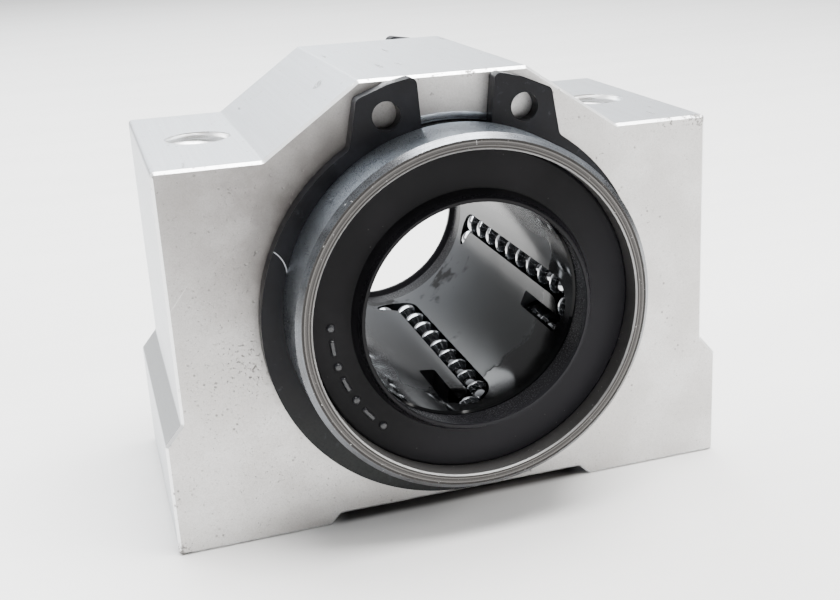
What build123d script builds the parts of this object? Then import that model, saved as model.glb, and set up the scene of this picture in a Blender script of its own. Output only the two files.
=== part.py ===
from build123d import *
from math import acos, cos, degrees, hypot, pi, radians, sin
import os

# Linear ball bushing, 20 mm bore, held in a short pillow block by two external circlips.
# Frame: millimetres, +Z up, shaft axis along Y, front of the block towards -Y.
# Origin: centre of the shaft bore at mid length.

# ---------------------------------------------------------------- driving dimensions
# pillow block
BLOCK_LENGTH = 27.0
BLOCK_WIDTH = 54.0
UPPER_WIDTH = 50.8
BASE_Z = -21.0
SHOULDER_Z = 14.0
CROWN_Z = 20.0
STEP_Z = -10.3
STEP_RISE = 1.9
CROWN_HALF = 7.6
SLOPE_FOOT_HALF = 16.2
FOOT_INNER_HALF = 13.1
RECESS_DEPTH = 1.0
EDGE_RADIUS = 0.4
END_EDGE = 0.25
BORE_EDGE = 0.6
HOLE_SPACING = 40.0
THREAD_RADIUS = 3.0
THREAD_DEPTH = 12.0
THROUGH_RADIUS = 2.6

# bushing sleeve
SLEEVE_RADIUS = 16.0
SEAT_GAP = 0.02
SLEEVE_LENGTH = 42.0
SLEEVE_OUTER_EDGE = 0.45
RACEWAY_RADIUS = 13.04
SEAL_SEAT_RADIUS = 14.6
SEAL_SEAT_START = 16.9
SEAL_MOUTH_EDGE = 0.12
CLIP_GROOVE_OUTER = 30.5
CLIP_GROOVE_WIDTH = 1.6
CLIP_GROOVE_RADIUS = 15.25
RING_GROOVE_START = 17.0
RING_GROOVE_WIDTH = 0.8
RING_GROOVE_RADIUS = 14.95

# ball circuits
CIRCUITS = 5
BALL_RADIUS = 1.5
BALL_REACH = 10.01
BALLS_PER_ROW = 8
ROW_PITCH = 3.06
ROW_MARGIN = 0.06
TURN_START = 11.95
TURN_RADIUS = 2.6
TURN_BALLS = 2
TURN_PITCH = 3.22
RETURN_ROW_RADIUS = 12.64
CHANNEL_RADIUS = 1.65
FIRST_CIRCUIT_ANGLE = -78.0

# ball retainer
RETAINER_BORE = 10.3
RETAINER_RADIUS = 12.96
RETAINER_HALF = 16.8
WINDOW_WIDTH = 1.6
WINDOW_START = 5.8
WINDOW_OFFSET = 6.4

# end seals and rings
LIP_RADIUS = 10.05
SEAL_INNER_FACE = 17.8
SEAL_SKIRT_END = 16.95
SEAL_OUTER_FACE = 19.1
LIP_FOOT_RADIUS = 11.0
LIP_TIP = 20.4
INSERT_DEPTH = 0.5
RING_BORE = 12.2

# external circlips, shaft size 32
CLIP_THICKNESS = 1.5
CLIP_STANDOFF = 0.05
CLIP_BORE = 15.27
CLIP_OUTER_RADIUS = 17.93
CLIP_DROP = 0.97
LUG_HOLE_RADIUS = 1.25
LUG_HOLE_CIRCLE = 18.0
LUG_HOLE_ANGLE = 20.2
LUG_GAP_HALF = 3.05
LUG_TIP_HALF = 3.5
LUG_CORNER = 0.6
LUG_ROOT = 0.8
FRONT_CLIP_TURN = -1.5
REAR_CLIP_TURN = 3.5

# ---------------------------------------------------------------- derived layout
LOADED_ROW_RADIUS = BALL_REACH + BALL_RADIUS
ROW_ANGLE = degrees(acos((LOADED_ROW_RADIUS ** 2 + RETURN_ROW_RADIUS ** 2 - 4 * TURN_RADIUS ** 2)
                         / (2 * LOADED_ROW_RADIUS * RETURN_ROW_RADIUS)))
TURN_LENGTH = pi * TURN_RADIUS
CIRCUIT_LENGTH = 4 * TURN_START + 2 * TURN_LENGTH


def bore_point(radius, angle, y):
    """Point at a radius and an angle round the shaft axis, angle from +X towards +Z."""
    return Vector(radius * cos(radians(angle)), y, radius * sin(radians(angle)))


def circuit_frame(index):
    """Row centre points at mid length and the unit vector across one circuit."""
    angle = FIRST_CIRCUIT_ANGLE + 360.0 / CIRCUITS * index
    loaded = bore_point(LOADED_ROW_RADIUS, angle, 0)
    back = bore_point(RETURN_ROW_RADIUS, angle - ROW_ANGLE, 0)
    across = (back - loaded).normalized()
    return loaded, back, across


def path_point(index, travel):
    """Point on the circuit centre line, travel measured from the front end of the loaded row."""
    loaded, back, across = circuit_frame(index)
    straight = 2 * TURN_START
    if travel < straight:
        return loaded + Vector(0, travel - TURN_START, 0)
    if travel < straight + TURN_LENGTH:
        turn = (travel - straight) / TURN_RADIUS
        centre = loaded + across * TURN_RADIUS + Vector(0, TURN_START, 0)
        return centre - across * (TURN_RADIUS * cos(turn)) + Vector(0, TURN_RADIUS * sin(turn), 0)
    if travel < 2 * straight + TURN_LENGTH:
        return back + Vector(0, TURN_START - (travel - straight - TURN_LENGTH), 0)
    turn = (travel - 2 * straight - TURN_LENGTH) / TURN_RADIUS
    centre = loaded + across * TURN_RADIUS - Vector(0, TURN_START, 0)
    return centre + across * (TURN_RADIUS * cos(turn)) - Vector(0, TURN_RADIUS * sin(turn), 0)


def row_travels():
    """Travel values of the balls in each of the four stretches of a circuit."""
    loaded = [ROW_MARGIN + ROW_PITCH * i for i in range(BALLS_PER_ROW)]
    back_start = 2 * TURN_START + TURN_LENGTH + ROW_MARGIN
    back = [back_start + ROW_PITCH * i for i in range(BALLS_PER_ROW)]
    rear_turn = [loaded[-1] + TURN_PITCH * (i + 1) for i in range(TURN_BALLS)]
    front_turn = [CIRCUIT_LENGTH + loaded[0] - TURN_PITCH * (i + 1) for i in range(TURN_BALLS)]
    return {"loaded_balls": loaded, "rear_turn_balls": rear_turn,
            "return_balls": back, "front_turn_balls": front_turn}


def channel_path(index):
    """Corner points of the closed ball channel: loaded row ends, turn crowns, return row ends."""
    loaded, back, across = circuit_frame(index)
    shift = Vector(0, TURN_START, 0)
    crown = Vector(0, TURN_START + TURN_RADIUS, 0)
    middle = loaded + across * TURN_RADIUS
    return {"load_front": loaded - shift, "load_rear": loaded + shift,
            "back_front": back - shift, "back_rear": back + shift,
            "crown_front": middle - crown, "crown_rear": middle + crown}


os.makedirs("parts", exist_ok=True)

# ---------------------------------------------------------------- pillow block
with BuildPart() as housing:
    with BuildSketch(Plane.XZ.offset(-BLOCK_LENGTH / 2)):
        with BuildLine():
            Polyline(
                (FOOT_INNER_HALF, BASE_Z),
                (BLOCK_WIDTH / 2, BASE_Z),
                (BLOCK_WIDTH / 2, STEP_Z),
                (UPPER_WIDTH / 2, STEP_Z + STEP_RISE),
                (UPPER_WIDTH / 2, SHOULDER_Z),
                (SLOPE_FOOT_HALF, SHOULDER_Z),
                (CROWN_HALF, CROWN_Z),
                (-CROWN_HALF, CROWN_Z),
                (-SLOPE_FOOT_HALF, SHOULDER_Z),
                (-UPPER_WIDTH / 2, SHOULDER_Z),
                (-UPPER_WIDTH / 2, STEP_Z + STEP_RISE),
                (-BLOCK_WIDTH / 2, STEP_Z),
                (-BLOCK_WIDTH / 2, BASE_Z),
                (-FOOT_INNER_HALF, BASE_Z),
                (-FOOT_INNER_HALF + RECESS_DEPTH, BASE_Z + RECESS_DEPTH),
                (FOOT_INNER_HALF - RECESS_DEPTH, BASE_Z + RECESS_DEPTH),
                close=True,
            )
        make_face()
    extrude(amount=BLOCK_LENGTH)
    fillet(housing.edges().filter_by(Axis.Y), EDGE_RADIUS)
    chamfer(housing.faces().filter_by(Axis.Y).edges(), END_EDGE)
    with BuildSketch(Plane.XZ.offset(-BLOCK_LENGTH / 2)):
        Circle(SLEEVE_RADIUS + SEAT_GAP)
    extrude(amount=BLOCK_LENGTH, mode=Mode.SUBTRACT)
    bore_edges = housing.edges().filter_by(GeomType.CIRCLE)
    bore_edges = bore_edges.filter_by(lambda e: abs(e.radius - SLEEVE_RADIUS - SEAT_GAP) < 0.001)
    chamfer(bore_edges, BORE_EDGE)
    with BuildSketch(Plane.XY.offset(SHOULDER_Z)):
        with GridLocations(HOLE_SPACING, 1, 2, 1):
            Circle(THREAD_RADIUS)
    extrude(amount=-THREAD_DEPTH, mode=Mode.SUBTRACT)
    with BuildSketch(Plane.XY.offset(SHOULDER_Z - THREAD_DEPTH)):
        with GridLocations(HOLE_SPACING, 1, 2, 1):
            Circle(THROUGH_RADIUS)
    extrude(amount=BASE_Z - SHOULDER_Z + THREAD_DEPTH, mode=Mode.SUBTRACT)

housing.part.label = "housing"
export_step(housing.part, "parts/housing.step")

# ---------------------------------------------------------------- bushing sleeve
half = SLEEVE_LENGTH / 2
groove_near = CLIP_GROOVE_OUTER / 2 - CLIP_GROOVE_WIDTH
with BuildPart() as outer_sleeve:
    with BuildSketch(Plane.XY):
        with BuildLine():
            Polyline(
                (RACEWAY_RADIUS, 0),
                (SLEEVE_RADIUS, 0),
                (SLEEVE_RADIUS, groove_near),
                (CLIP_GROOVE_RADIUS, groove_near),
                (CLIP_GROOVE_RADIUS, groove_near + CLIP_GROOVE_WIDTH),
                (SLEEVE_RADIUS, groove_near + CLIP_GROOVE_WIDTH),
                (SLEEVE_RADIUS, half - SLEEVE_OUTER_EDGE),
                (SLEEVE_RADIUS - SLEEVE_OUTER_EDGE, half),
                (SEAL_SEAT_RADIUS + SEAL_MOUTH_EDGE, half),
                (SEAL_SEAT_RADIUS, half - SEAL_MOUTH_EDGE),
                (SEAL_SEAT_RADIUS, RING_GROOVE_START + RING_GROOVE_WIDTH),
                (RING_GROOVE_RADIUS, RING_GROOVE_START + RING_GROOVE_WIDTH),
                (RING_GROOVE_RADIUS, RING_GROOVE_START),
                (SEAL_SEAT_RADIUS, RING_GROOVE_START),
                (SEAL_SEAT_RADIUS, SEAL_SEAT_START),
                (RACEWAY_RADIUS, SEAL_SEAT_START),
                close=True,
            )
        make_face()
    revolve(axis=Axis.Y)
    mirror(about=Plane.XZ)
    for index in range(CIRCUITS):
        points = channel_path(index)
        with BuildLine() as return_line:
            ThreePointArc(points["load_front"], (points["load_front"] + points["back_front"]) / 2
                          - Vector(0, TURN_RADIUS, 0), points["back_front"])
            Line(points["back_front"], points["back_rear"])
            ThreePointArc(points["back_rear"], (points["load_rear"] + points["back_rear"]) / 2
                          + Vector(0, TURN_RADIUS, 0), points["load_rear"])
        across = circuit_frame(index)[2]
        with BuildSketch(Plane(origin=points["load_front"], x_dir=across, z_dir=(0, -1, 0))):
            Circle(CHANNEL_RADIUS)
        sweep(path=return_line.line, mode=Mode.SUBTRACT)

outer_sleeve.part.label = "outer_sleeve"
export_step(outer_sleeve.part, "parts/outer_sleeve.step")

# ---------------------------------------------------------------- ball retainer
with BuildPart() as ball_retainer:
    with BuildSketch(Plane.XZ.offset(-RETAINER_HALF)):
        Circle(RETAINER_RADIUS)
        Circle(RETAINER_BORE, mode=Mode.SUBTRACT)
    extrude(amount=2 * RETAINER_HALF)
    chamfer(ball_retainer.edges().filter_by(GeomType.CIRCLE), 0.2)
    for index in range(CIRCUITS):
        points = channel_path(index)
        with BuildLine() as channel_line:
            Line(points["load_rear"], points["load_front"])
            ThreePointArc(points["load_front"], points["crown_front"], points["back_front"])
            Line(points["back_front"], points["back_rear"])
            ThreePointArc(points["back_rear"], points["crown_rear"], points["load_rear"])
        across = circuit_frame(index)[2]
        with BuildSketch(Plane(origin=points["load_rear"], x_dir=across, z_dir=(0, -1, 0))):
            Circle(CHANNEL_RADIUS)
        sweep(path=channel_line.line, mode=Mode.SUBTRACT)
        # filling window over the front end of the return row
        angle = FIRST_CIRCUIT_ANGLE + 360.0 / CIRCUITS * index - ROW_ANGLE + WINDOW_OFFSET
        middle = bore_point(RETAINER_BORE - 1, angle, -(WINDOW_START + TURN_START + TURN_RADIUS) / 2)
        outward = bore_point(1, angle, 0)
        with BuildSketch(Plane(origin=middle, x_dir=(0, 1, 0), z_dir=outward)):
            RectangleRounded(TURN_START + TURN_RADIUS - WINDOW_START, WINDOW_WIDTH, 0.4)
        extrude(amount=RETURN_ROW_RADIUS - RETAINER_BORE + 1, mode=Mode.SUBTRACT)

ball_retainer.part.label = "ball_retainer"
export_step(ball_retainer.part, "parts/ball_retainer.step")

# ---------------------------------------------------------------- balls, four stretches per circuit
for index in range(CIRCUITS):
    for stretch, travels in row_travels().items():
        with BuildPart() as balls:
            with Locations([Location(path_point(index, travel)) for travel in travels]):
                Sphere(BALL_RADIUS)
        balls.part.label = f"{stretch}_{index + 1}"
        export_step(balls.part, f"parts/{stretch}_{index + 1}.step")

# ---------------------------------------------------------------- end pieces, one set per end
for end, side in (("front", -1), ("rear", 1)):
    ring_thick = RING_GROOVE_WIDTH - 0.1
    ring_y = RING_GROOVE_START + 0.05
    with BuildPart() as side_ring:
        with BuildSketch(Plane.XZ.offset(-side * ring_y)):
            Circle(RING_GROOVE_RADIUS - 0.05)
            Circle(RING_BORE, mode=Mode.SUBTRACT)
        extrude(amount=-side * ring_thick)
        with BuildSketch(Plane.XZ.offset(-side * ring_y)):
            with Locations(Location((0, 13.5))):
                Rectangle(2.4, 4.4)
        extrude(amount=-side * ring_thick, mode=Mode.SUBTRACT)
    side_ring.part.label = f"side_ring_{end}"
    export_step(side_ring.part, f"parts/side_ring_{end}.step")

    # the moulded rubber wraps a flat steel insert, leaving a groove for it
    with BuildPart() as seal:
        with BuildSketch(Plane.XY):
            with BuildLine():
                Polyline(
                    (SEAL_SEAT_RADIUS - SEAT_GAP, SEAL_INNER_FACE * side),
                    (SEAL_SEAT_RADIUS - SEAT_GAP, (SEAL_OUTER_FACE - 0.15) * side),
                    (SEAL_SEAT_RADIUS - 0.25, SEAL_OUTER_FACE * side),
                    (LIP_FOOT_RADIUS, SEAL_OUTER_FACE * side),
                    (LIP_RADIUS + 0.3, LIP_TIP * side),
                    (LIP_RADIUS + 0.05, LIP_TIP * side),
                    (LIP_RADIUS, (LIP_TIP - 0.1) * side),
                    (LIP_RADIUS, (LIP_TIP - 0.5) * side),
                    (LIP_RADIUS + 0.45, (LIP_TIP - 1.0) * side),
                    (LIP_RADIUS + 0.45, SEAL_SKIRT_END * side),
                    (LIP_RADIUS + 0.85, SEAL_SKIRT_END * side),
                    (LIP_RADIUS + 0.85, SEAL_INNER_FACE * side),
                    (11.8, SEAL_INNER_FACE * side),
                    (11.8, (SEAL_INNER_FACE + INSERT_DEPTH) * side),
                    (14.0, (SEAL_INNER_FACE + INSERT_DEPTH) * side),
                    (14.0, SEAL_INNER_FACE * side),
                    close=True,
                )
            make_face()
        revolve(axis=Axis.Y)
    seal.part.label = f"seal_{end}"
    export_step(seal.part, f"parts/seal_{end}.step")

    with BuildPart() as seal_insert:
        with BuildSketch(Plane.XZ.offset(-side * (SEAL_INNER_FACE + 0.02))):
            Circle(13.98)
            Circle(11.82, mode=Mode.SUBTRACT)
        extrude(amount=-side * (INSERT_DEPTH - 0.04))
    seal_insert.part.label = f"seal_insert_{end}"
    export_step(seal_insert.part, f"parts/seal_insert_{end}.step")

    turn = FRONT_CLIP_TURN if end == "front" else REAR_CLIP_TURN
    clip_y = groove_near + CLIP_STANDOFF
    start = -clip_y if side > 0 else clip_y + CLIP_THICKNESS
    clip_plane = Plane(origin=(0, -start, 0), x_dir=(cos(radians(turn)), 0, sin(radians(turn))),
                       z_dir=(0, 1, 0))
    with BuildPart() as circlip:
        with BuildSketch(clip_plane):
            with Locations((0, CLIP_DROP)):
                Circle(CLIP_OUTER_RADIUS)
            Circle(CLIP_BORE, mode=Mode.SUBTRACT)
            with BuildLine():
                Polyline((0, 0), (-11.8, -20.0), (11.8, -20.0), close=True)
            make_face(mode=Mode.SUBTRACT)
            for hand in (-1, 1):
                with BuildLine():
                    Polyline(
                        (hand * LUG_GAP_HALF, -14.0),
                        (hand * LUG_TIP_HALF, -20.1),
                        (hand * 6.1, -19.5),
                        (hand * 8.76, -18.42),
                        (hand * 9.6, -13.9),
                        (hand * 9.1, -12.0),
                        close=True,
                    )
                make_face()
            Circle(CLIP_BORE, mode=Mode.SUBTRACT)
            with Locations(*[(hand * LUG_HOLE_CIRCLE * sin(radians(LUG_HOLE_ANGLE)),
                              -LUG_HOLE_CIRCLE * cos(radians(LUG_HOLE_ANGLE))) for hand in (-1, 1)]):
                Circle(LUG_HOLE_RADIUS, mode=Mode.SUBTRACT)
        extrude(amount=CLIP_THICKNESS)
        across = circlip.edges().filter_by(Axis.Y)
        corners = across.filter_by(lambda e: hypot(e.center().X, e.center().Z) > 19.9)
        roots = across.filter_by(lambda e: 16.9 < hypot(e.center().X, e.center().Z) < 17.4)
        fillet(corners, LUG_CORNER)
        fillet(roots, LUG_ROOT)
    circlip.part.label = f"circlip_{end}"
    export_step(circlip.part, f"parts/circlip_{end}.step")
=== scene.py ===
"""Looks of a linear ball bushing held by two circlips in a short aluminium pillow block.

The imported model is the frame. This script keeps its shapes, dresses every piece with a
node-based finish and adds the fine pieces that the solids leave out: the screw threads and the
raised marks on the end seals. Oil, dust, nicks and scratches are in the finishes.
Lengths are in metres, +Z is up, the shaft runs along Y and the front is towards -Y.
"""

from __future__ import annotations

import logging
import math
from dataclasses import dataclass, field
from enum import Enum
from typing import Sequence

import bpy
import numpy as np
from mathutils import Matrix, Vector


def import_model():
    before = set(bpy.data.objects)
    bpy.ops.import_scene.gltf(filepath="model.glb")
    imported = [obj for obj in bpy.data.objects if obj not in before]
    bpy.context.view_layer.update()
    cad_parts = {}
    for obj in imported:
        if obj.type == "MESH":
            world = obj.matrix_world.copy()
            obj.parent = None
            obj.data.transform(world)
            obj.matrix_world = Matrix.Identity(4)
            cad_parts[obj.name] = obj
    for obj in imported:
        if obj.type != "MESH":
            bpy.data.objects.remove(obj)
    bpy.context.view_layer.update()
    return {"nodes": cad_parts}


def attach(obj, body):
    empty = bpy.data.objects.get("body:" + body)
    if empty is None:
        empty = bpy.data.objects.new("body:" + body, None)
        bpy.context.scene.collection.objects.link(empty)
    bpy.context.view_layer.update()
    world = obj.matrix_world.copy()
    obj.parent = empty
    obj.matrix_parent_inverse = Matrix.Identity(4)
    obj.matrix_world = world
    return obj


LOG = logging.getLogger("ball_bushing")
MM = 0.001
STILL_BODY = "block_and_bushing"

Colour = tuple[float, float, float]
Place = tuple[float, float, float]
Span = tuple[float, float]
Socket = bpy.types.NodeSocket


class End(Enum):
    """Which end of the shaft bore a piece belongs to."""

    FRONT = -1
    REAR = 1

    @property
    def word(self) -> str:
        """The end's name as it stands in node names."""
        return self.name.lower()


class Mark(Enum):
    """The two kinds of raised mark on a seal's face."""

    PIP = "round dome"
    DASH = "short ridge along the seal's round"


# --------------------------------------------------------------------------- node helper


class Finish:
    """A material under construction, with short calls for the nodes this part needs."""

    def __init__(self, name: str) -> None:
        """Starts an empty material.

        Args:
            name: the material's name, in a maker's words.
        """
        self.material = bpy.data.materials.new(name)
        self.material.use_nodes = True
        self.tree = self.material.node_tree
        self.tree.nodes.clear()
        output = self.tree.nodes.new("ShaderNodeOutputMaterial")
        self.shader = self.tree.nodes.new("ShaderNodeBsdfPrincipled")
        self.link(self.shader.outputs["BSDF"], output.inputs["Surface"])
        self.place = self.tree.nodes.new("ShaderNodeTexCoord").outputs["Object"]
        self.facing = self.tree.nodes.new("ShaderNodeNewGeometry").outputs["True Normal"]
        self.bump_chain: Socket | None = None

    def link(self, source: Socket, target: Socket) -> None:
        """Joins two sockets."""
        self.tree.links.new(source, target)

    def feed(self, socket: Socket, value: object) -> None:
        """Sets a socket to a constant, or joins it to another socket.

        Args:
            socket: the input to fill.
            value: a socket, a number, a colour, or None to leave it alone.
        """
        if isinstance(value, bpy.types.NodeSocket):
            self.link(value, socket)
        elif isinstance(value, tuple) and socket.type == "RGBA":
            socket.default_value = (*value[:3], 1.0)
        elif value is not None:
            socket.default_value = value

    def fixed(self, **values: object) -> None:
        """Sets constants on the shader's own sockets, named with spaces as underscores."""
        for key, value in values.items():
            self.feed(self.shader.inputs[key.replace("_", " ")], value)

    def math(self, kind: str, a: object, b: object = None) -> Socket:
        """One math node.

        Args:
            kind: the operation, such as "MULTIPLY".
            a: first input.
            b: second input.

        Returns:
            The result socket.
        """
        node = self.tree.nodes.new("ShaderNodeMath")
        node.operation = kind
        self.feed(node.inputs[0], a)
        self.feed(node.inputs[1], b)
        return node.outputs[0]

    def times(self, a: object, b: object) -> Socket:
        """Product of two values."""
        return self.math("MULTIPLY", a, b)

    def ramp(self, value: object, low: float, high: float, to_low: float = 0.0,
             to_high: float = 1.0) -> Socket:
        """Smoothly maps low..high onto to_low..to_high, clamped.

        Args:
            value: the input socket.
            low: input value that gives to_low.
            high: input value that gives to_high.
            to_low: result at low.
            to_high: result at high.

        Returns:
            The result socket.
        """
        node = self.tree.nodes.new("ShaderNodeMapRange")
        node.interpolation_type = "SMOOTHSTEP"
        self.feed(node.inputs["Value"], value)
        node.inputs["From Min"].default_value = low
        node.inputs["From Max"].default_value = high
        node.inputs["To Min"].default_value = to_low
        node.inputs["To Max"].default_value = to_high
        return node.outputs["Result"]

    def fade(self, value: object, full: float, gone: float, most: float = 1.0) -> Socket:
        """Smoothly falls from most at full to nothing at gone.

        Args:
            value: the input socket.
            full: input value that still gives most.
            gone: input value that gives 0.
            most: the largest result.

        Returns:
            The result socket.
        """
        return self.ramp(value, full, gone, most, 0.0)

    def parts(self, vector: Socket) -> tuple[Socket, ...]:
        """Splits a vector into its three components."""
        node = self.tree.nodes.new("ShaderNodeSeparateXYZ")
        self.link(vector, node.inputs[0])
        return node.outputs[0], node.outputs[1], node.outputs[2]

    def join(self, x: object, y: object, z: object) -> Socket:
        """Makes a vector from three values."""
        node = self.tree.nodes.new("ShaderNodeCombineXYZ")
        for socket, value in zip(node.inputs, (x, y, z)):
            self.feed(socket, value)
        return node.outputs[0]

    def end_facing(self) -> Socket:
        """How squarely the surface faces along the shaft: 1 on an end face, 0 on a side."""
        return self.math("ABSOLUTE", self.parts(self.facing)[1])

    def up_facing(self) -> Socket:
        """How much the surface faces up: 1 on a top, -1 on an underside."""
        return self.parts(self.facing)[2]

    def shaft_radius(self) -> Socket:
        """Distance from the shaft's axis: the square root of x squared plus z squared."""
        x, _, z = self.parts(self.place)
        return self.math("SQRT", self.math("ADD", self.times(x, x), self.times(z, z)))

    def distance(self, centre: Place) -> Socket:
        """Distance in metres from a place on the part that is given in millimetres."""
        node = self.tree.nodes.new("ShaderNodeVectorMath")
        node.operation = "DISTANCE"
        self.link(self.place, node.inputs[0])
        node.inputs[1].default_value = tuple(v * MM for v in centre)
        return node.outputs["Value"]

    def turned(self, degrees: float) -> Socket:
        """The part's coordinates turned about Y by a number of degrees."""
        mapping = self.tree.nodes.new("ShaderNodeMapping")
        mapping.inputs["Rotation"].default_value = (0.0, math.radians(degrees), 0.0)
        self.link(self.place, mapping.inputs["Vector"])
        return mapping.outputs["Vector"]

    def noise(self, vector: Socket, scale: float, detail: float = 3.0, rough: float = 0.55,
              stretch: tuple[float, float, float] = (1.0, 1.0, 1.0), shift: float = 0.0) -> Socket:
        """Smooth noise, stretched along an axis where a factor is small.

        Args:
            vector: coordinates in metres.
            scale: noise cells per metre.
            detail: octaves.
            rough: how strong the fine octaves are.
            stretch: factor on each axis before the noise.
            shift: offset that gives another pattern.

        Returns:
            The noise value, about 0.2 to 0.8.
        """
        mapping = self.tree.nodes.new("ShaderNodeMapping")
        mapping.inputs["Scale"].default_value = stretch
        mapping.inputs["Location"].default_value = (shift, shift * 0.7, -shift)
        self.link(vector, mapping.inputs["Vector"])
        node = self.tree.nodes.new("ShaderNodeTexNoise")
        node.inputs["Scale"].default_value = scale
        node.inputs["Detail"].default_value = detail
        node.inputs["Roughness"].default_value = rough
        self.link(mapping.outputs["Vector"], node.inputs["Vector"])
        return node.outputs["Fac"]

    def specks(self, scale: float, size: Span, where: Span, patch_scale: float,
               shift: float, patch_shift: float) -> Socket:
        """Small round specks that come in patches.

        Args:
            scale: speck places per metre.
            size: distances from a speck's middle, in cells, where it is full and gone.
            where: patch noise values where specks begin and are full.
            patch_scale: patches per metre.
            shift: offset that gives other specks.
            patch_shift: offset that gives other patches.

        Returns:
            The mask, 0 to 1.
        """
        mapping = self.tree.nodes.new("ShaderNodeMapping")
        mapping.inputs["Location"].default_value = (shift, -shift, shift * 0.5)
        self.link(self.place, mapping.inputs["Vector"])
        node = self.tree.nodes.new("ShaderNodeTexVoronoi")
        node.inputs["Scale"].default_value = scale
        self.link(mapping.outputs["Vector"], node.inputs["Vector"])
        patches = self.noise(self.place, patch_scale, detail=2.0, rough=0.5, shift=patch_shift)
        return self.times(self.fade(node.outputs["Distance"], *size), self.ramp(patches, *where))

    def spot(self, centre: Place, reach: float, grain: float, cover: float, shift: float) -> Socket:
        """Patchy mask round one place on the part, for a nick, a rub or a smudge.

        Args:
            centre: the place, in millimetres.
            reach: radius in millimetres where it has faded out.
            grain: noise cells per metre of its ragged edge.
            cover: 0 leaves nothing of it, 1 fills it.
            shift: offset that gives another pattern.

        Returns:
            The mask, 0 to 1.
        """
        near = self.fade(self.distance(centre), 0.0, reach * MM, cover)
        ragged = self.noise(self.place, grain, detail=4.0, rough=0.65, shift=shift)
        return self.ramp(self.math("ADD", near, ragged), 0.66, 0.80)

    def halo(self, centre: Place, reach: float) -> Socket:
        """Soft round mask that fades from 1 at a place to 0 at its reach, both in millimetres."""
        return self.fade(self.distance(centre), 0.0, reach * MM)

    def blend(self, factor: object, a: object, b: object) -> Socket:
        """Mixes two colours.

        Args:
            factor: 0 gives a, 1 gives b.
            a: first colour.
            b: second colour.

        Returns:
            The colour socket.
        """
        node = self.tree.nodes.new("ShaderNodeMix")
        node.data_type = "RGBA"
        self.feed(node.inputs["Factor"], factor)
        for name, value in (("A", a), ("B", b)):
            self.feed(next(s for s in node.inputs if s.name == name and s.type == "RGBA"), value)
        return next(s for s in node.outputs if s.type == "RGBA")

    def bump(self, height: Socket, depth: float, strength: float) -> None:
        """Adds a relief on top of the ones before it.

        Args:
            height: the height pattern.
            depth: metres between height 0 and 1.
            strength: 0 to 1.
        """
        node = self.tree.nodes.new("ShaderNodeBump")
        node.inputs["Strength"].default_value = strength
        node.inputs["Distance"].default_value = depth
        self.link(height, node.inputs["Height"])
        if self.bump_chain is not None:
            self.link(self.bump_chain, node.inputs["Normal"])
        self.bump_chain = node.outputs["Normal"]

    def done(self, colour: Socket, roughness: object) -> bpy.types.Material:
        """Joins colour, roughness and relief to the shader.

        Args:
            colour: the base colour.
            roughness: the roughness.

        Returns:
            The finished material.
        """
        self.feed(self.shader.inputs["Base Color"], colour)
        self.feed(self.shader.inputs["Roughness"], roughness)
        if self.bump_chain is not None:
            self.link(self.bump_chain, self.shader.inputs["Normal"])
        return self.material


# --------------------------------------------------------------------------- finishes


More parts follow.
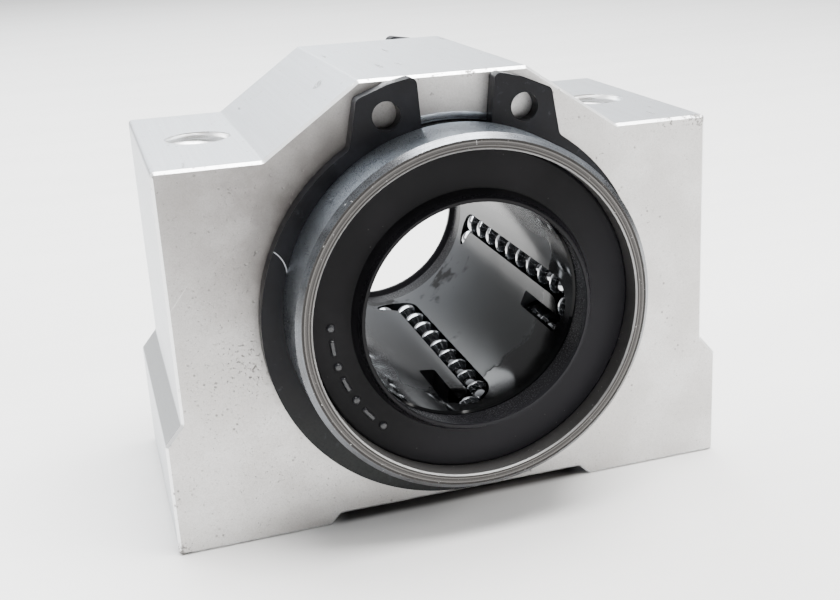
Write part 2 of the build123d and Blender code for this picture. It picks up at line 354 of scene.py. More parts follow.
@dataclass(frozen=True)
class ExtrudedAluminium:
    """Satin extruded skin with draw lines along Y, and sawn, tumbled ends with fine specks.

    The nicks are places in millimetres, each with its reach in millimetres and its cover. The
    shade patches are painted shade: soft darker patches on the two end faces.
    """

    skin: Colour = (0.57, 0.59, 0.615)
    streak: Colour = (0.50, 0.515, 0.535)
    fingered: Colour = (0.50, 0.50, 0.505)
    sawn: Colour = (0.55, 0.535, 0.52)
    sawn_pale: Colour = (0.66, 0.65, 0.64)
    sawn_pit: Colour = (0.34, 0.33, 0.32)
    # painted shade: dark tone of the soft patches on both end faces
    film_and_shade_tone: Colour = (0.165, 0.152, 0.145)
    ledge_dust: Colour = (0.20, 0.205, 0.205)
    # painted shade tone: used next to the circlip and on the undersides
    painted_shade_tone: Colour = (0.05, 0.045, 0.04)
    # painted highlight: near-white tone along the rounded edges of the end faces
    edge: Colour = (0.97, 0.97, 0.97)
    scratched: Colour = (0.95, 0.95, 0.95)
    mark: Colour = (0.22, 0.21, 0.20)
    end_limits: Span = (0.80, 0.97)
    edge_limits: Span = (0.10, 0.30)
    # places and reaches, in millimetres, of the painted shade patches
    shade_patches: tuple[tuple[Place, float], ...] = (
        ((-16.0, -13.5, 11.5), 25.0), ((14.0, 13.5, 10.0), 22.0),
    )
    shade_cover: float = 0.85
    upper_half_width: Span = (0.0252, 0.0254)
    slope_limits: Span = (0.50, 0.62)
    ledge_cover: float = 0.75
    # radii and cover of the painted shade round the circlip
    ring_shade_radii: Span = (0.0178, 0.0212)
    ring_shade_cover: float = 0.5
    scratch_angles: tuple[Span, Span] = ((62.0, 1.7), (-38.0, 6.2))
    scratch_cover: float = 0.22
    nicks: tuple[tuple[Place, float, float], ...] = (
        ((24.6, -13.5, 13.9), 2.4, 0.24), ((21.4, -13.5, 13.8), 1.4, 0.22),
        ((-26.9, -13.4, 13.9), 1.2, 0.26), ((-26.8, -13.4, -20.8), 1.7, 0.30),
        ((2.4, -13.5, 19.9), 0.7, 0.30), ((26.9, -9.0, 1.9), 0.9, 0.28),
        ((26.9, -4.0, -2.8), 0.7, 0.28), ((-19.0, -13.5, -4.0), 4.0, 0.13),
        ((14.2, 13.5, -19.0), 1.8, 0.24), ((-26.9, 9.0, -12.0), 1.3, 0.24),
    )

    def scratches(self, f: Finish) -> Socket:
        """Fine straight scratches: stretched noise, cut high, along two slanted directions."""
        masks = [
            f.ramp(f.noise(f.turned(degrees), 640, detail=1.0, rough=0.5, stretch=(2.4, 0.3, 0.05),
                           shift=shift), 0.735, 0.76)
            for degrees, shift in self.scratch_angles
        ]
        return f.math("MAXIMUM", *masks)

    def end_colour(self, f: Finish, grain: Socket, film_and_shade: Socket) -> Socket:
        """Colour of the sawn end faces: pale and dark clouds, pits, then the painted shade patches over
        them.
        """
        cloud = f.noise(f.place, 160, detail=3.0, rough=0.5)
        ends = f.blend(f.ramp(cloud, 0.35, 0.7), self.sawn, self.sawn_pale)
        ends = f.blend(f.ramp(grain, 0.35, 0.75, 0.0, 0.34), ends, self.sawn_pit)
        # painted shade laid over the sawn end faces
        return f.blend(f.times(film_and_shade, self.shade_cover), ends, self.film_and_shade_tone)

    def make(self) -> bpy.types.Material:
        """Builds the material."""
        f = Finish("extruded_aluminium")
        facing = f.end_facing()
        end_face = f.ramp(facing, *self.end_limits)
        edge = f.times(f.ramp(facing, *self.edge_limits), f.fade(facing, *self.end_limits))
        drawn = f.noise(f.place, 5200, detail=2.0, rough=0.6, stretch=(1.0, 0.012, 1.0))
        grain = f.noise(f.place, 9000, detail=3.0, rough=0.7)
        handled = f.ramp(f.noise(f.place, 260, detail=5.0, rough=0.62, shift=4.4), 0.56, 0.74)
        # painted shade: soft darker patches round two given places on the end faces, upper left on the
        # front face
        film_and_shade = f.math("MAXIMUM", *(f.halo(centre, reach) for centre, reach in self.shade_patches))
        shade_cloud = f.noise(f.place, 230, detail=3.0, rough=0.6, shift=7.7)
        film_and_shade = f.times(film_and_shade, f.ramp(shade_cloud, 0.3, 0.6, 0.82, 1.0))

        base = f.blend(f.ramp(drawn, 0.3, 0.7, 0.0, 0.6), self.skin, self.streak)
        base = f.blend(f.times(handled, 0.22), base, self.fingered)
        base = f.blend(end_face, base, self.end_colour(f, grain, film_and_shade))
        width = f.math("ABSOLUTE", f.parts(f.place)[0])
        ledge = f.times(f.ramp(width, *self.upper_half_width), f.ramp(f.up_facing(), *self.slope_limits))
        base = f.blend(f.times(ledge, self.ledge_cover), base, self.ledge_dust)
        # painted shade on the end faces next to the circlip, where the shade patches lie
        ring_shade = f.fade(f.shaft_radius(), *self.ring_shade_radii, self.ring_shade_cover)
        base = f.blend(f.times(ring_shade, f.times(film_and_shade, end_face)), base, self.painted_shade_tone)
        # painted shade on the downward-facing faces under the block
        base = f.blend(f.fade(f.up_facing(), -0.95, -0.80, 0.9), base, self.painted_shade_tone)
        # painted highlight along the rounded end-face edges
        base = f.blend(f.times(edge, 0.8), base, self.edge)
        dirt = f.times(f.specks(1500, (0.10, 0.24), (0.54, 0.66), 420, 0.0, 0.3), 0.75)
        for count, (centre, reach, cover) in enumerate(self.nicks):
            dirt = f.math("MAXIMUM", dirt, f.spot(centre, reach, 3200.0, cover, 0.37 * count))
        base = f.blend(dirt, base, self.mark)
        scratch = self.scratches(f)
        base = f.blend(f.times(scratch, self.scratch_cover), base, self.scratched)

        rough = f.math("ADD", f.ramp(grain, 0.3, 0.7, 0.36, 0.46), f.times(end_face, 0.05))
        rough = f.math("SUBTRACT", rough, f.times(scratch, 0.12))
        f.bump(f.times(drawn, f.math("SUBTRACT", 1.0, end_face)), depth=4e-6, strength=0.6)
        f.bump(grain, depth=6e-6, strength=0.6)
        f.bump(f.math("SUBTRACT", 1.0, dirt), depth=6e-5, strength=0.7)
        f.fixed(Metallic=0.9, Specular_IOR_Level=0.5)
        return f.done(base, rough)


@dataclass(frozen=True)
class GroundSteel:
    """Bearing steel ground round its outside, with turning rings on the end faces."""

    ground: Colour = (0.37, 0.41, 0.46)
    ground_dull: Colour = (0.27, 0.30, 0.34)
    smeared: Colour = (0.18, 0.185, 0.20)
    shaded: Colour = (0.05, 0.05, 0.055)
    turned: Colour = (0.100, 0.096, 0.093)
    turned_dull: Colour = (0.014, 0.0135, 0.0135)
    lit_edge: Colour = (0.082, 0.082, 0.084)
    # painted highlight: bright tone along the inner part of the rim edge
    inner_edge_highlight: Colour = (0.32, 0.32, 0.32)
    mouth: Colour = (0.15, 0.147, 0.145)
    stain: Colour = (0.07, 0.06, 0.055)
    dinged: Colour = (0.95, 0.95, 0.95)
    end_limits: Span = (0.85, 0.98)
    edge_limits: Span = (0.10, 0.35)
    edge_end_limits: Span = (0.85, 0.97)
    shade_heights: Span = (0.001, 0.007)
    mouth_radii: Span = (0.01468, 0.01476)
    mouth_starts: Span = (0.0184, 0.0188)
    rim_radii: Span = (0.0150, 0.0153)
    ding: Place = (-13.3, -20.9, 9.8)
    ding_reach: float = 0.55

    def outside(self, f: Finish, lapped: Socket, smear: Socket) -> Socket:
        """Colour of the ground outside: grinding bands, oil smears and painted shade on the lower half."""
        height = f.parts(f.place)[2]
        colour = f.blend(f.ramp(lapped, 0.35, 0.68), self.ground_dull, self.ground)
        colour = f.blend(f.ramp(smear, 0.48, 0.72, 0.0, 0.12), colour, self.smeared)
        # painted shade: the outside darkens below a given height
        return f.blend(f.fade(height, *self.shade_heights, 0.5), colour, self.shaded)

    def make(self) -> bpy.types.Material:
        """Builds the material."""
        f = Finish("ground_bearing_steel")
        along = f.parts(f.place)[1]
        radius = f.shaft_radius()
        facing = f.end_facing()
        end_face = f.ramp(facing, *self.end_limits)
        edge = f.times(f.ramp(facing, *self.edge_limits), f.fade(facing, *self.edge_end_limits))
        lapped = f.noise(f.join(0.0, along, 0.0), 9000, detail=3.0, rough=0.65)
        rings = f.noise(f.join(radius, 0.0, 0.0), 4300, detail=3.0, rough=0.75, shift=0.4)
        smear = f.noise(f.place, 260, detail=4.0, rough=0.55, shift=2.1)
        fine = f.noise(f.place, 12000, detail=2.0, rough=0.6)
        blotch = f.ramp(f.noise(f.place, 700, detail=5.0, rough=0.62, shift=3.3), 0.52, 0.70)

        face = f.blend(f.ramp(rings, 0.40, 0.60), self.turned_dull, self.turned)
        base = f.blend(end_face, self.outside(f, lapped, smear), face)
        mouth = f.times(f.fade(radius, *self.mouth_radii),
                        f.ramp(f.math("ABSOLUTE", along), *self.mouth_starts))
        base = f.blend(mouth, base, self.mouth)
        # painted highlight on the inner part of the rim edge
        rim = f.blend(f.ramp(radius, *self.rim_radii), self.inner_edge_highlight, self.lit_edge)
        base = f.blend(f.times(edge, f.ramp(smear, 0.35, 0.65, 0.95, 0.6)), base, rim)
        base = f.blend(f.times(blotch, 0.10), base, self.stain)
        ding = f.spot(self.ding, self.ding_reach, grain=3500.0, cover=0.35, shift=0.2)
        base = f.blend(ding, base, self.dinged)

        rough = f.math("ADD", f.ramp(smear, 0.3, 0.7, 0.24, 0.27), f.times(mouth, 0.25))
        rough = f.math("ADD", rough, f.ramp(fine, 0.3, 0.7, 0.0, 0.06))
        f.bump(f.blend(end_face, lapped, rings), depth=6e-6, strength=0.9)
        f.bump(fine, depth=1.5e-6, strength=0.5)
        f.bump(ding, depth=3e-5, strength=0.6)
        f.fixed(Metallic=1.0, Specular_IOR_Level=0.5)
        return f.done(base, rough)


@dataclass(frozen=True)
class SealRubber:
    """Moulded black rubber, dry and matte outside, with a faint mould skin and an oily lip."""

    tone: Colour = (0.0030, 0.0030, 0.0036)
    clouded: Colour = (0.0055, 0.0052, 0.0062)
    # painted sheen: paler tone the seal face takes towards +X and down
    dust_and_sheen: Colour = (0.0105, 0.0102, 0.0122)
    speck: Colour = (0.12, 0.115, 0.11)
    sheen_side: Span = (-0.002, 0.014)
    lip_radii: Span = (0.0104, 0.0110)

    def make(self) -> bpy.types.Material:
        """Builds the material."""
        f = Finish("moulded_seal_rubber")
        across, _, up = f.parts(f.place)
        skin = f.noise(f.place, 8000, detail=4.0, rough=0.7)
        cloud = f.noise(f.place, 210, detail=3.0, rough=0.5, shift=0.9)
        specks = f.specks(1300, (0.04, 0.10), (0.55, 0.68), 500, 0.4, 1.2)
        base = f.blend(f.ramp(cloud, 0.35, 0.7), self.tone, self.clouded)
        # painted sheen: the seal face grows paler towards +X and down
        base = f.blend(f.ramp(f.math("SUBTRACT", across, up), *self.sheen_side), base, self.dust_and_sheen)
        base = f.blend(f.times(specks, 0.4), base, self.speck)
        oily_lip = f.fade(f.shaft_radius(), *self.lip_radii)
        rough = f.math("SUBTRACT", f.ramp(skin, 0.3, 0.7, 0.46, 0.58), f.times(oily_lip, 0.30))
        f.bump(skin, depth=8e-6, strength=0.45)
        f.fixed(Specular_IOR_Level=0.1)
        return f.done(base, rough)


@dataclass(frozen=True)
class MouldedMark:
    """Raised marks on the seal face, smoother than the face because handling has polished them."""

    tone: Colour = (0.006, 0.0065, 0.0085)
    polished: Colour = (0.014, 0.0155, 0.019)

    def make(self) -> bpy.types.Material:
        """Builds the material."""
        f = Finish("polished_rubber_mark")
        skin = f.noise(f.place, 6000, detail=3.0, rough=0.6)
        base = f.blend(f.ramp(skin, 0.35, 0.7), self.tone, self.polished)
        f.bump(skin, depth=3e-6, strength=0.4)
        f.fixed(Specular_IOR_Level=0.5)
        return f.done(base, f.ramp(skin, 0.3, 0.7, 0.28, 0.40))


@dataclass(frozen=True)
class RetainerResin:
    """Smooth moulded resin wetted with oil: clean stretches shine, thick smears go darker."""

    clean: Colour = (0.067, 0.070, 0.075)
    oiled: Colour = (0.0015, 0.0016, 0.0019)
    pool_reach: Span = (-0.0150, -0.0085)
    pool_cover: float = 0.42

    def make(self) -> bpy.types.Material:
        """Builds the material."""
        f = Finish("oiled_retainer_resin")
        run = f.noise(f.place, 170, detail=4.0, rough=0.55, stretch=(1.0, 0.8, 1.0), shift=0.6)
        pool = f.fade(f.parts(f.place)[1], *self.pool_reach, self.pool_cover)
        smear = f.ramp(f.math("ADD", run, pool), 0.62, 0.70)
        flow = f.noise(f.place, 75, detail=2.0, rough=0.45, shift=1.9)
        fine = f.noise(f.place, 1500, detail=2.0, rough=0.5, shift=2.5)
        base = f.blend(smear, self.clean, self.oiled)
        f.bump(flow, depth=3.0e-4, strength=0.5)
        f.bump(smear, depth=2e-5, strength=0.5)
        f.bump(fine, depth=2e-6, strength=0.3)
        f.fixed(Specular_IOR_Level=0.115)
        return f.done(base, f.ramp(smear, 0.0, 1.0, 0.20, 0.07))


@dataclass(frozen=True)
class PolishedBall:
    """Lapped bearing ball with a thin film of oil."""

    tone: Colour = (0.47, 0.48, 0.50)
    film_and_shade_tone: Colour = (0.34, 0.34, 0.345)

    def make(self) -> bpy.types.Material:
        """Builds the material."""
        f = Finish("lapped_ball_steel")
        film_and_shade = f.noise(f.place, 700, detail=2.0, rough=0.5, shift=0.2)
        base = f.blend(f.ramp(film_and_shade, 0.4, 0.7, 0.0, 0.5), self.tone, self.film_and_shade_tone)
        f.bump(film_and_shade, depth=4e-6, strength=0.2)
        f.fixed(Metallic=1.0)
        return f.done(base, f.ramp(film_and_shade, 0.3, 0.7, 0.06, 0.13))


@dataclass(frozen=True)
class BlackedSpring:
    """Spring steel with a black oxide skin, rubbed in places, with dust below and one stray fibre.

    The fibre is a short arc on the front ring's face: its centre, its radius and the place of its
    middle are in millimetres.
    """

    tone: Colour = (0.0040, 0.0040, 0.0050)
    clouded: Colour = (0.007, 0.0072, 0.0092)
    rubbed: Colour = (0.035, 0.038, 0.045)
    dust_and_sheen: Colour = (0.0175, 0.0190, 0.0190)
    lint: Colour = (0.42, 0.43, 0.46)
    dusty_heights: Span = (-0.016, -0.004)
    fibre_centre: Place = (-17.87, -15.2, 4.55)
    fibre_middle: Place = (-15.6, -15.2, 5.65)
    fibre_radius: float = 2.556
    fibre_half_width: Span = (0.00002, 0.00006)
    fibre_half_length: Span = (0.0010, 0.0012)

    def fibre(self, f: Finish) -> Socket:
        """Mask of the fibre: near its circle, and not far from its middle."""
        off_circle = f.math("SUBTRACT", f.distance(self.fibre_centre), self.fibre_radius * MM)
        return f.times(f.fade(f.math("ABSOLUTE", off_circle), *self.fibre_half_width),
                       f.fade(f.distance(self.fibre_middle), *self.fibre_half_length))

    def make(self) -> bpy.types.Material:
        """Builds the material."""
        f = Finish("black_oxide_spring_steel")
        grain = f.noise(f.place, 4200, detail=3.0, rough=0.6)
        cloud = f.noise(f.place, 330, detail=4.0, rough=0.55, shift=1.1)
        rub = f.noise(f.place, 1100, detail=5.0, rough=0.65, shift=0.7)
        dust = f.times(f.fade(f.parts(f.place)[2], *self.dusty_heights), f.ramp(grain, 0.3, 0.6, 0.6, 1.0))
        base = f.blend(f.ramp(cloud, 0.35, 0.7), self.tone, self.clouded)
        base = f.blend(dust, base, self.dust_and_sheen)
        base = f.blend(f.ramp(rub, 0.60, 0.74, 0.0, 0.5), base, self.rubbed)
        base = f.blend(self.fibre(f), base, self.lint)
        f.bump(grain, depth=6e-6, strength=0.5)
        f.bump(cloud, depth=2.5e-5, strength=0.35)
        f.fixed(Specular_IOR_Level=0.14)
        return f.done(base, f.ramp(cloud, 0.3, 0.7, 0.34, 0.48))


@dataclass(frozen=True)
class SheetSteel:
    """Pressed sheet steel of the hidden rings and seal inserts."""

    tone: Colour = (0.50, 0.50, 0.51)
    rolled: Colour = (0.38, 0.38, 0.39)

    def make(self) -> bpy.types.Material:
        """Builds the material."""
        f = Finish("pressed_sheet_steel")
        lines = f.noise(f.place, 6000, detail=3.0, rough=0.6, stretch=(0.05, 1.0, 1.0))
        base = f.blend(f.ramp(lines, 0.35, 0.7), self.tone, self.rolled)
        f.bump(lines, depth=3e-6, strength=0.5)
        f.fixed(Metallic=1.0)
        return f.done(base, f.ramp(lines, 0.3, 0.7, 0.30, 0.42))


@dataclass(frozen=True)
class PaleTable:
    """Plain pale table top, unlit under the block's recess and glowing faintly far away.

    The glow grows with distance from a place well behind the part, so it keeps the far floor pale
    where the lights no longer reach it.
    """

    tone: Colour = (0.80, 0.795, 0.785)
    grained: Colour = (0.77, 0.765, 0.755)
    unlit: Colour = (0.05, 0.04, 0.035)
    recess_half_width: Span = (0.0112, 0.0136)
    recess_half_depth: Span = (0.0126, 0.0139)
    recess_cover: float = 0.88
    glow: Colour = (0.96, 0.97, 1.0)
    glow_strength: float = 1.5
    glow_centre: Place = (0.0, 450.0, -21.0)
    glow_distances: Span = (0.55, 1.0)

    def make(self) -> bpy.types.Material:
        """Builds the material."""
        f = Finish("pale_table")
        grain = f.noise(f.place, 60, detail=3.0, rough=0.6, stretch=(0.12, 1.0, 1.0))
        base = f.blend(f.ramp(grain, 0.3, 0.7), self.tone, self.grained)
        across, along, _ = f.parts(f.place)
        under = f.times(f.fade(f.math("ABSOLUTE", across), *self.recess_half_width),
                        f.fade(f.math("ABSOLUTE", along), *self.recess_half_depth, self.recess_cover))
        base = f.blend(under, base, self.unlit)
        far = f.ramp(f.distance(self.glow_centre), *self.glow_distances, 0.0, self.glow_strength)
        f.feed(f.shader.inputs["Emission Strength"], far)
        f.fixed(Emission_Color=self.glow, Specular_IOR_Level=0.35)
        return f.done(base, 0.55)


# --------------------------------------------------------------------------- surfaces


def grid_faces(rows: int, columns: int, close_rows: bool, close_columns: bool) -> np.ndarray:
    """Faces of a grid of points stored row by row.

    Each face joins point (i, j) to (i, j + 1), (i + 1, j + 1) and (i + 1, j), with the last row
    or column joined to the first where it closes.

    Args:
        rows: number of rows.
        columns: points in a row.
        close_rows: joins the last row to the first.
        close_columns: joins the last column to the first.

    Returns:
        An array of four indices per face.
    """
    i = np.arange(rows if close_rows else rows - 1)
    j = np.arange(columns if close_columns else columns - 1)
    a, b = np.meshgrid(i, j, indexing="ij")
    a2, b2 = (a + 1) % rows, (b + 1) % columns
    corners = (a * columns + b, a * columns + b2, a2 * columns + b2, a2 * columns + b)
    return np.stack([c.ravel() for c in corners], axis=1)


def mesh_piece(name: str, points: np.ndarray, faces: np.ndarray,
               material: bpy.types.Material) -> bpy.types.Object:
    """Puts computed points and faces into a new smooth-shaded object at the origin.

    Args:
        name: the piece's name.
        points: one row of x, y, z per point, in metres.
        faces: four point indices per face.
        material: the finish.

    Returns:
        The new object.
    """
    mesh = bpy.data.meshes.new(name)
    mesh.from_pydata(points.reshape(-1, 3).tolist(), [], faces.tolist())
    mesh.polygons.foreach_set("use_smooth", np.full(len(mesh.polygons), True))
    mesh.materials.append(material)
    mesh.update()
    piece = bpy.data.objects.new(name, mesh)
    bpy.context.scene.collection.objects.link(piece)
    return piece


def dress(nodes: dict[str, bpy.types.Object], names: Sequence[str], material: bpy.types.Material) -> None:
    """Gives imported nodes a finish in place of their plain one.

    Args:
        nodes: the frame's nodes.
        names: which of them.
        material: the finish.
    """
    for name in names:
        piece = nodes[name]
        piece.data.materials.clear()
        piece.data.materials.append(material)
    LOG.info("dressed %d nodes with %s", len(names), material.name)


# --------------------------------------------------------------------------- sub-assemblies


@dataclass
class PillowBlock:
    """The extruded block and the threads cut in its two shoulder holes."""

    hole_spacing: float = 40.0 * MM
    shoulder: float = 14.0 * MM
    thread_depth: float = 12.0 * MM
    outer_radius: float = 2.985 * MM
    core_radius: float = 2.50 * MM
    pitch: float = 1.0 * MM
    foot_clearance: float = 0.05 * MM
    top_clearance: float = 0.12 * MM
    mouth_start: float = 0.15 * MM
    mouth_length: float = 0.75 * MM
    crest_sharpness: float = 1.25
    crest_flat: float = 0.10
    points_round: int = 72
    points_up: int = 176
    finish: ExtrudedAluminium = field(default_factory=ExtrudedAluminium)

    def thread(self, name: str, centre_x: float, material: bpy.types.Material) -> bpy.types.Object:
        """One tapped thread as a closed sleeve inside the hole.

        The inner wall's radius is a rounded triangle wave of height over the pitch minus angle over
        a full turn, so it is one helix; it opens to the outer radius over the first pitch, where
        the hole's mouth is countersunk. The outer wall is a plain cylinder.

        Args:
            name: the piece's name.
            centre_x: where the hole stands across the block.
            material: the finish.

        Returns:
            The new object.
        """
        angles = np.linspace(0, 2 * np.pi, self.points_round + 1)[:-1]
        heights = np.linspace(-self.thread_depth + self.foot_clearance, -self.top_clearance, self.points_up)
        h, a = np.meshgrid(heights, angles, indexing="ij")
        phase = (h / self.pitch - a / (2 * np.pi)) % 1.0
        wave = np.clip(np.abs(2 * phase - 1) * self.crest_sharpness - self.crest_flat, 0.0, 1.0)
        mouth = np.clip((-h - self.mouth_start) / self.mouth_length, 0.0, 1.0)
        inner = self.outer_radius - (self.outer_radius - self.core_radius) * (1 - wave) * mouth
        back_h, back_a = np.meshgrid(heights[[-1, 0]], angles, indexing="ij")
        radius = np.concatenate([inner, np.full_like(back_h, self.outer_radius)])
        turn = np.concatenate([a, back_a])
        up = self.shoulder + np.concatenate([h, back_h])
        points = np.stack([centre_x + radius * np.cos(turn), radius * np.sin(turn), up], axis=-1)
        faces = grid_faces(len(points), self.points_round, True, True)[:, ::-1]
        piece = mesh_piece(name, points, faces, material)
        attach(piece, STILL_BODY)
        return piece

    def build(self, nodes: dict[str, bpy.types.Object]) -> None:
        """Dresses the block and adds both threads."""
        material = self.finish.make()
        dress(nodes, ["housing"], material)
        for side, word in ((-1, "left"), (1, "right")):
            self.thread(f"tapped_thread_{word}", side * self.hole_spacing / 2, material)
            LOG.info("thread cut in the %s shoulder hole", word)


@dataclass
class BushingCartridge:
    """Sleeve, retainer and hidden rings of the bushing."""

    hidden_rings: tuple[str, ...] = ("side_ring", "seal_insert")

    def build(self, nodes: dict[str, bpy.types.Object]) -> None:
        """Dresses the sleeve, the retainer and the hidden rings."""
        dress(nodes, ["outer_sleeve"], GroundSteel().make())
        dress(nodes, ["ball_retainer"], RetainerResin().make())
        hidden = [f"{kind}_{end.word}" for kind in self.hidden_rings for end in End]
        dress(nodes, hidden, SheetSteel().make())


@dataclass
class BallCircuits:
    """The five recirculating circuits of balls."""

    circuits: int = 5
    stretches: tuple[str, ...] = ("loaded_balls", "return_balls", "front_turn_balls", "rear_turn_balls")

    def build(self, nodes: dict[str, bpy.types.Object]) -> None:
        """Dresses every ball."""
        names = [f"{stretch}_{k + 1}" for stretch in self.stretches for k in range(self.circuits)]
        dress(nodes, names, PolishedBall().make())


@dataclass
class EndSeals:
    """The two rubber seals and the raised marks moulded on their faces."""

    face: float = 19.1 * MM
    mark_radius: float = 12.75 * MM
    dash_sweep: float = 6.5
    dash_width: float = 0.42 * MM
    dash_points_along: int = 25
    dash_points_across: int = 11
    pip_radius: float = 0.36 * MM
    pip_rings: int = 9
    pip_points_round: int = 28
    pip_cap: float = 0.12
    relief: float = 0.22 * MM
    sunk: float = 0.004 * MM
    first_angle: float = 178.0
    step: float = 8.0
    layout: tuple[Mark, ...] = (Mark.PIP, Mark.DASH, Mark.PIP, Mark.DASH, Mark.PIP, Mark.DASH, Mark.PIP)

    def dash(self, angle: float) -> tuple[np.ndarray, np.ndarray]:
        """One dash along the seal's round: a half round ridge that sinks to nothing at both ends.

        Its height is the relief times sqrt(1 - t^4) across and sqrt(1 - s^12) along.

        Args:
            angle: where the dash stands round the shaft, in radians from +X towards +Z.

        Returns:
            Points as across, height and up, and the faces.
        """
        along = np.linspace(-1, 1, self.dash_points_along)
        across = np.linspace(-1, 1, self.dash_points_across)
        s, t = np.meshgrid(along, across, indexing="ij")
        height = self.relief * np.sqrt(np.clip(1 - t ** 4, 0, 1) * np.clip(1 - s ** 12, 0, 1)) - self.sunk
        turn = angle + s * math.radians(self.dash_sweep) / 2
        radius = self.mark_radius + t * self.dash_width / 2
        points = np.stack([radius * np.cos(turn), height, radius * np.sin(turn)], axis=-1)
        return points.reshape(-1, 3), grid_faces(along.size, across.size, False, False)

    def pip(self, angle: float) -> tuple[np.ndarray, np.ndarray]:
        """One round pip: a dome of height relief times sqrt(1 - s^4) at s of its radius.

        Rings of points carry it, and four-sided faces round one top point close its pole.

        Args:
            angle: where the pip stands round the shaft, in radians.

        Returns:
            Points as across, height and up, and the faces.
        """
        outward = np.linspace(self.pip_cap, 1, self.pip_rings)
        around = np.linspace(0, 2 * np.pi, self.pip_points_round + 1)[:-1]
        s, u = np.meshgrid(outward, around, indexing="ij")
        middle_x = self.mark_radius * math.cos(angle)
        middle_z = self.mark_radius * math.sin(angle)
        height = self.relief * np.sqrt(np.clip(1 - s ** 4, 0, 1)) - self.sunk
        x = middle_x + self.pip_radius * s * np.cos(u)
        z = middle_z + self.pip_radius * s * np.sin(u)
        rings = np.stack([x, height, z], axis=-1).reshape(-1, 3)
        top = np.array([[middle_x, self.relief - self.sunk, middle_z]])
        even = np.arange(0, around.size, 2)
        cap = np.stack([np.full_like(even, len(rings)), (even + 2) % around.size, even + 1, even], axis=1)
        wall = grid_faces(outward.size, around.size, False, True)
        return np.concatenate([rings, top]), np.concatenate([wall, cap])[:, ::-1]

    def marks(self, end: End, material: bpy.types.Material) -> bpy.types.Object:
        """All raised marks of one seal as one piece.

        Args:
            end: which seal.
            material: the finish.

        Returns:
            The new object.
        """
        points, faces, count = [], [], 0
        for place, kind in enumerate(self.layout):
            angle = math.radians(self.first_angle + self.step * place)
            mark_points, mark_faces = self.dash(angle) if kind is Mark.DASH else self.pip(angle)
            points.append(mark_points)
            faces.append(mark_faces + count)
            count += len(mark_points)
        cloud = np.concatenate(points)
        cloud[:, 1] = end.value * (self.face + cloud[:, 1])
        if end is End.REAR:
            cloud[:, 0] *= -1
        piece = mesh_piece(f"seal_marks_{end.word}", cloud, np.concatenate(faces), material)
        self.face_outwards(piece, end)
        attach(piece, STILL_BODY)
        return piece

    @staticmethod
    def face_outwards(piece: bpy.types.Object, end: End) -> None:
        """Turns the whole piece's faces over where they look into the seal.

        Args:
            piece: the marks of one seal, whose faces all look the same way.
            end: which seal they stand on.
        """
        mesh = piece.data
        normals = np.zeros(len(mesh.polygons) * 3)
        mesh.polygons.foreach_get("normal", normals)
        if (normals[1::3] * end.value).sum() < 0:
            mesh.flip_normals()

    def build(self, nodes: dict[str, bpy.types.Object]) -> None:
        """Dresses both seals and adds their marks."""
        dress(nodes, [f"seal_{end.word}" for end in End], SealRubber().make())
        mark = MouldedMark().make()
        for end in End:
            self.marks(end, mark)
            LOG.info("raised marks on the %s seal", end.word)


@dataclass
class Circlips:
    """The two external retaining rings."""

    stem: str = "circlip"

    def build(self, nodes: dict[str, bpy.types.Object]) -> None:
        """Dresses both rings."""
        dress(nodes, [f"{self.stem}_{end.word}" for end in End], BlackedSpring().make())


# --------------------------------------------------------------------------- studio


@dataclass(frozen=True)
class SoftLight:
    """One rectangular soft light: its place and aim, width and height in metres, and watts."""

    name: str
    place: Place
    aim: Place
    size: Span
    power: float
    colour: Colour

    def hang(self) -> None:
        """Adds the light to the scene, facing its aim."""
        data = bpy.data.lights.new(self.name, "AREA")
        data.shape = "RECTANGLE"
        data.size, data.size_y = self.size
        data.energy = self.power
        data.color = self.colour
        light = bpy.data.objects.new(self.name, data)
        light.location = self.place
        towards = Vector(self.aim) - Vector(self.place)
        light.rotation_euler = towards.to_track_quat("-Z", "Y").to_euler()
        bpy.context.scene.collection.objects.link(light)


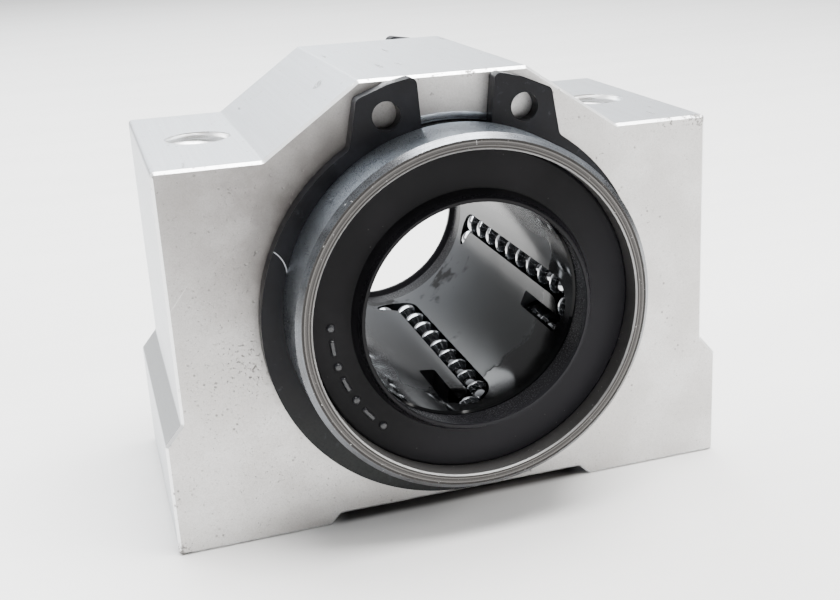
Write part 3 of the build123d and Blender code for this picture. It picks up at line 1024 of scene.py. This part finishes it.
@dataclass
class Studio:
    """Pale floor, soft lights and the camera."""

    floor_z: float = -21.0 * MM
    floor_half: float = 3.0
    floor_points: int = 31
    azimuth: float = -18.97
    elevation: float = 18.43
    roll: float = -2.19
    distance: float = 122.4 * MM
    aim_right: float = 8.12 * MM
    aim_up: float = -3.93 * MM
    lens: float = 51.84
    sensor: float = 36.0
    shift_x: float = -0.0905
    shift_y: float = -0.0115
    nearest: float = 0.01
    soft_lights: tuple[SoftLight, ...] = (
        SoftLight("window_back", (-0.12, 0.42, 0.42), (0, 0, 0), (0.6, 0.35), 6.0, (0.93, 0.97, 1.0)),
        SoftLight("ceiling", (0.10, -0.02, 0.50), (0.02, 0, 0), (0.38, 0.32), 10.5, (1.0, 0.995, 0.985)),
        SoftLight("right_fill", (0.20, -0.12, 0.09), (0.02, 0, 0), (0.12, 0.10), 0.55, (1.0, 0.985, 0.96)),
        SoftLight("left_fill", (-0.40, 0.16, 0.24), (0, 0, 0), (0.4, 0.3), 2.5, (1.0, 0.99, 0.98)),
    )
    room_colour: Colour = (0.94, 0.95, 0.97)
    room_height_weight: float = 1.3
    room_limits: Span = (-0.9, 1.3)
    room_strengths: Span = (0.04, 0.9)

    def floor(self) -> None:
        """A wide flat sheet, three metres each way from the part."""
        run = np.linspace(-self.floor_half, self.floor_half, self.floor_points)
        r, w = np.meshgrid(run, run, indexing="ij")
        points = np.stack([w, r, np.full_like(r, self.floor_z)], axis=-1)
        faces = grid_faces(self.floor_points, self.floor_points, False, False)
        mesh_piece("table_top", points, faces, PaleTable().make())

    def room(self) -> None:
        """The room's own light: strongest above and behind, dim below and in front.

        Its strength rises smoothly with the direction's height times a weight plus its +Y part.
        """
        world = bpy.data.worlds.new("pale_room")
        world.use_nodes = True
        tree = world.node_tree
        background = tree.nodes["Background"]
        background.inputs["Color"].default_value = (*self.room_colour, 1.0)
        split = tree.nodes.new("ShaderNodeSeparateXYZ")
        tree.links.new(tree.nodes.new("ShaderNodeTexCoord").outputs["Generated"], split.inputs[0])
        towards_back = tree.nodes.new("ShaderNodeMath")
        towards_back.operation = "MULTIPLY_ADD"
        towards_back.inputs[1].default_value = self.room_height_weight
        tree.links.new(split.outputs["Z"], towards_back.inputs[0])
        tree.links.new(split.outputs["Y"], towards_back.inputs[2])
        strength = tree.nodes.new("ShaderNodeMapRange")
        strength.interpolation_type = "SMOOTHSTEP"
        names = ("From Min", "From Max", "To Min", "To Max")
        for name, value in zip(names, (*self.room_limits, *self.room_strengths)):
            strength.inputs[name].default_value = value
        tree.links.new(towards_back.outputs[0], strength.inputs["Value"])
        tree.links.new(strength.outputs["Result"], background.inputs["Strength"])
        bpy.context.scene.world = world

    def camera(self) -> None:
        """Places the camera from its azimuth, elevation, roll, distance and aim offsets."""
        az, el, roll = (math.radians(v) for v in (self.azimuth, self.elevation, self.roll))
        back = Vector((math.sin(az) * math.cos(el), -math.cos(az) * math.cos(el), math.sin(el)))
        level = Vector((math.cos(az), math.sin(az), 0.0))
        up = back.cross(level)
        right = level * math.cos(roll) + up * math.sin(roll)
        top = up * math.cos(roll) - level * math.sin(roll)
        data = bpy.data.cameras.new("view")
        data.sensor_width = self.sensor
        data.lens = self.lens
        data.shift_x = self.shift_x
        data.shift_y = self.shift_y
        data.clip_start = self.nearest
        camera = bpy.data.objects.new("view", data)
        stand = back * self.distance + level * self.aim_right + up * self.aim_up
        turn = Matrix((right, top, back)).transposed().to_4x4()
        camera.matrix_world = Matrix.Translation(stand) @ turn
        bpy.context.scene.collection.objects.link(camera)
        bpy.context.scene.camera = camera

    def build(self) -> None:
        """Builds the floor, the lights, the room and the camera."""
        self.floor()
        for light in self.soft_lights:
            light.hang()
        self.room()
        self.camera()
        LOG.info("studio ready")


def main() -> None:
    """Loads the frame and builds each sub-assembly in order."""
    logging.basicConfig(level=logging.INFO, format="%(name)s: %(message)s")
    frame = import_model()
    nodes = frame["nodes"]
    PillowBlock().build(nodes)
    BushingCartridge().build(nodes)
    BallCircuits().build(nodes)
    EndSeals().build(nodes)
    Circlips().build(nodes)
    Studio().build()


if __name__ == "__main__":
    main()
